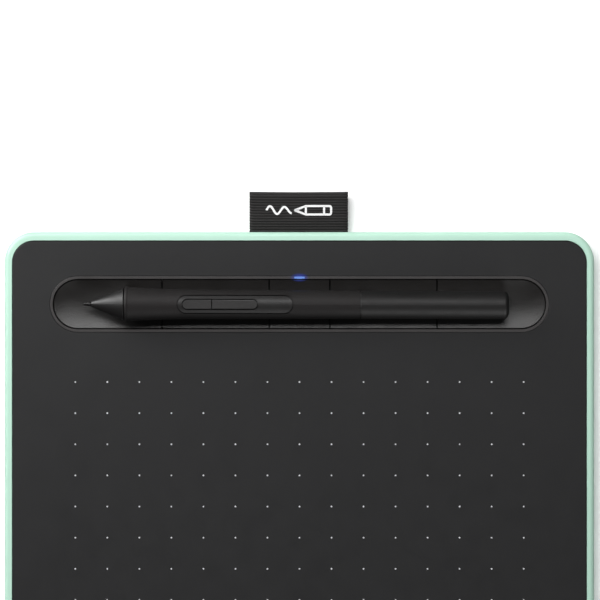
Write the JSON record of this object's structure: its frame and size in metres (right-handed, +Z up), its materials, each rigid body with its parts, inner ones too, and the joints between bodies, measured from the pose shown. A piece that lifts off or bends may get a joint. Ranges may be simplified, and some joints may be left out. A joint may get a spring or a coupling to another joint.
{
  "type": "pen drawing tablet",
  "caption": "Small flat pen tablet with a mint green shell, a dark textured drawing surface, a scooped tray of keys holding its pen, and a fabric pen loop at the rear.",
  "frame": {"origin": "on the desk under the feet, at the centre in plan of the bounding box of case and loop", "axes": "+X to the right as the user sees it, +Y to the rear edge where the loop is, +Z up"},
  "size_m": [0.2, 0.1738, 0.0193],
  "materials": {
    "case_shell": "satin mint green, very light",
    "drawing_surface": "fine paper-like texture",
    "tray_trim": "satin",
    "key_satin": "fine speckled satin",
    "light_guide": "clear, lit blue",
    "led": "lit",
    "silicone": "matt",
    "circuit_board": "solder mask",
    "steel": "bare",
    "chip": "moulded",
    "module_can": "tinned",
    "flex": "film",
    "battery_pouch": "pouch foil",
    "lead": "insulated wire",
    "ribbon_fabric": "ribbed grosgrain",
    "inner_plastic": "moulded",
    "feet": "matt",
    "nib_plastic": "smooth",
    "pen_matte": "soft matt",
    "pen_bezel": "semi-gloss",
    "pen_button": "satin",
    "pen_gloss": "polished",
    "ferrite": "sintered",
    "copper": "enamelled winding"
  },
  "bodies": {
    "tablet": {"bottom_shell": "case_shell", "top_cover": "drawing_surface", "tray_frame": "tray_trim", "light_guide": "light_guide", "status_led": "led", "key_dome_1": "silicone", "key_dome_2": "silicone", "power_dome": "silicone", "key_dome_3": "silicone", "key_dome_4": "silicone", "sensor_board": "circuit_board", "main_board": "circuit_board", "shield_plate": "steel", "case_screws": "steel", "board_screws": "steel", "usb_socket": "steel", "microcontroller": "chip", "battery_connector": "chip", "ribbon_connector": "chip", "usb_tongue": "chip", "wireless_module": "module_can", "sensor_ribbon": "flex", "battery": "battery_pouch", "battery_lead": "lead", "pen_loop": "ribbon_fabric", "loop_clamp": "inner_plastic", "foot_front_left": "feet", "foot_rear_left": "feet", "foot_front_right": "feet", "foot_rear_right": "feet"},
    "shortcut_key_1": {"shortcut_key_1": "key_satin"},
    "shortcut_key_2": {"shortcut_key_2": "key_satin"},
    "power_button": {"power_button": "key_satin"},
    "shortcut_key_3": {"shortcut_key_3": "key_satin"},
    "shortcut_key_4": {"shortcut_key_4": "key_satin"},
    "pen": {"nose_cone": "pen_matte", "ferrite_core": "ferrite", "antenna_coil": "copper", "pressure_sensor": "inner_plastic", "pen_chassis": "inner_plastic", "pen_board": "circuit_board", "side_switches": "silicone", "front_barrel": "pen_matte", "switch_bezel": "pen_bezel", "spare_nibs": "nib_plastic"},
    "nib": {"pen_nib": "nib_plastic", "nib_holder": "inner_plastic"},
    "rear_cap": {"rear_barrel": "pen_gloss", "nib_puller": "steel"},
    "side_button_front": {"side_button_front": "pen_button"},
    "side_button_rear": {"side_button_rear": "pen_button"}
  },
  "joints": [
    {"name": "shortcut_key_1_press", "type": "slide", "parent": "tablet", "child": "shortcut_key_1", "axis": [0, 0, -1], "range_m": [0, 0.0005], "stiffness_N_per_m": 1000, "springref_m": -0.0002, "deforming": ["key_dome_1"]},
    {"name": "shortcut_key_2_press", "type": "slide", "parent": "tablet", "child": "shortcut_key_2", "axis": [0, 0, -1], "range_m": [0, 0.0005], "stiffness_N_per_m": 1000, "springref_m": -0.0002, "deforming": ["key_dome_2"]},
    {"name": "power_button_press", "type": "slide", "parent": "tablet", "child": "power_button", "axis": [0, 0, -1], "range_m": [0, 0.0005], "stiffness_N_per_m": 1000, "springref_m": -0.0002, "deforming": ["power_dome"]},
    {"name": "shortcut_key_3_press", "type": "slide", "parent": "tablet", "child": "shortcut_key_3", "axis": [0, 0, -1], "range_m": [0, 0.0005], "stiffness_N_per_m": 1000, "springref_m": -0.0002, "deforming": ["key_dome_3"]},
    {"name": "shortcut_key_4_press", "type": "slide", "parent": "tablet", "child": "shortcut_key_4", "axis": [0, 0, -1], "range_m": [0, 0.0005], "stiffness_N_per_m": 1000, "springref_m": -0.0002, "deforming": ["key_dome_4"]},
    {"name": "pen_lift", "type": "slide", "parent": "tablet", "child": "pen", "axis": [0, 0, 1], "range_m": [0, 0.06]},
    {"name": "nib_press", "type": "slide", "parent": "pen", "child": "nib", "axis": [0.9999, -0.003, -0.0099], "range_m": [0, 0.0003], "stiffness_N_per_m": 2000, "springref_m": -0.0001},
    {"name": "side_button_front_press", "type": "slide", "parent": "pen", "child": "side_button_front", "axis": [-0.0099, 0, -1], "range_m": [0, 0.0003], "stiffness_N_per_m": 1000, "springref_m": -0.0002},
    {"name": "side_button_rear_press", "type": "slide", "parent": "pen", "child": "side_button_rear", "axis": [-0.0099, 0, -1], "range_m": [0, 0.0003], "stiffness_N_per_m": 1000, "springref_m": -0.0002},
    {"name": "rear_cap_twist", "type": "hinge", "parent": "pen", "child": "rear_cap", "pos_m": [0.0208, 0.04844, 0.01251], "axis": [0.9999, -0.003, -0.0099], "range_deg": [0, 90]}
  ]
}
